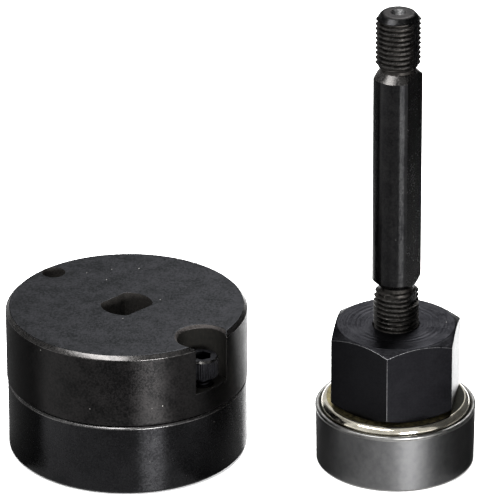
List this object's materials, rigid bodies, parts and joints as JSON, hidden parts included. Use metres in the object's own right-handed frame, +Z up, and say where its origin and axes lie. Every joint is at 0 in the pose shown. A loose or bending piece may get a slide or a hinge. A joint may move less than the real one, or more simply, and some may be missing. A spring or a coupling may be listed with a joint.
{
  "type": "knockout punch",
  "caption": "Knockout punch unit: a round punch and die closed together, and a flatted draw stud in a hex drive nut that stands on a banded ball thrust bearing.",
  "frame": {"origin": "on the floor, at the middle of the box round both standing groups", "axes": "+Z up along the stud; +X from the punch and die towards the stud; +Y away from the viewer"},
  "size_m": [0.0986, 0.0508, 0.1016],
  "materials": {
    "die_steel": "black oxide, satin",
    "punch_steel": "black oxide, satin",
    "pin_steel": "ground",
    "screw_steel": "black oxide, semi-gloss",
    "stud_steel": "black oxide, semi-gloss",
    "nut_steel": "black oxide, satin",
    "band_steel": "satin gunmetal",
    "race_steel": "ground and polished",
    "ball_steel": "polished",
    "cage_brass": "stamped"
  },
  "bodies": {
    "base": {"punch": "punch_steel", "guide_pin": "pin_steel", "cap_screw": "screw_steel", "bearing_band": "band_steel", "lower_race": "race_steel"},
    "die": {"die": "die_steel"},
    "nut": {"drive_nut": "nut_steel", "upper_race": "race_steel"},
    "cage": {"ball_cage": "cage_brass", "ball_1": "ball_steel", "ball_2": "ball_steel", "ball_3": "ball_steel", "ball_4": "ball_steel", "ball_5": "ball_steel", "ball_6": "ball_steel", "ball_7": "ball_steel", "ball_8": "ball_steel", "ball_9": "ball_steel", "ball_10": "ball_steel", "ball_11": "ball_steel", "ball_12": "ball_steel"},
    "stud": {"draw_stud": "stud_steel"}
  },
  "joints": [
    {"name": "die_lift", "type": "slide", "parent": "base", "child": "die", "axis": [0, 0, 1], "range_m": [0, 0.0022]},
    {"name": "nut_turn", "type": "hinge", "parent": "base", "child": "nut", "pos_m": [0.03245, -0.0073, 0.02], "axis": [0, 0, 1], "range_deg": [-5760, 2520]},
    {"name": "cage_turn", "type": "hinge", "parent": "base", "child": "cage", "pos_m": [0.03245, -0.0073, 0.0064], "axis": [0, 0, 1], "range_deg": [-2880, 1260]},
    {"name": "stud_feed", "type": "slide", "parent": "base", "child": "stud", "axis": [0, 0, 1], "range_m": [-0.0075, 0.017]}
  ],
  "couplings": [
    {"joint": "cage_turn", "follows": "nut_turn", "ratio": 0.5},
    {"joint": "stud_feed", "follows": "nut_turn", "m_per_rad": -0.00016844}
  ]
}
